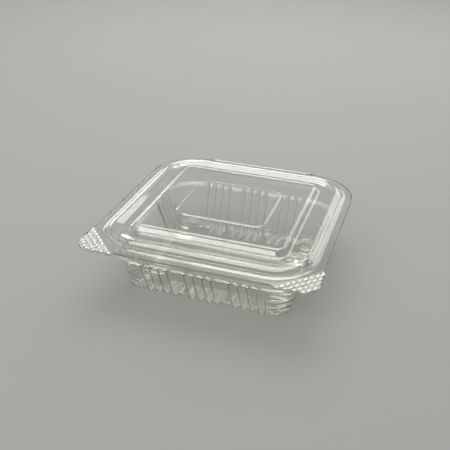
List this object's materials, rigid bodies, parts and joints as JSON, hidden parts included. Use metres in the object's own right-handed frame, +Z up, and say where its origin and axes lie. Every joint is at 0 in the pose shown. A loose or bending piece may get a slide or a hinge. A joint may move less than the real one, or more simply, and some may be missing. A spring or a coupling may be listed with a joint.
{
  "type": "hinged clear plastic food pack",
  "caption": "Square clear plastic food pack with a fluted tray, a stepped lid hinged along its back edge and finger tabs at the front corners.",
  "frame": {"origin": "on the table, under the middle of the closed pack", "axes": "+Z up out of the tray's mouth, -Y towards the finger tabs at the front, +Y towards the fold at the back"},
  "size_m": [0.136, 0.138, 0.0448],
  "materials": {
    "clear_sheet": "clear gloss"
  },
  "bodies": {
    "tray": {"tray": "clear_sheet", "living_hinge": "clear_sheet"},
    "lid": {"lid": "clear_sheet"}
  },
  "joints": [
    {"name": "lid_hinge", "type": "hinge", "parent": "tray", "child": "lid", "pos_m": [0, 0.06845, 0.03815], "axis": [-1, 0, 0], "range_deg": [0, 180], "deforming": ["living_hinge"]}
  ]
}
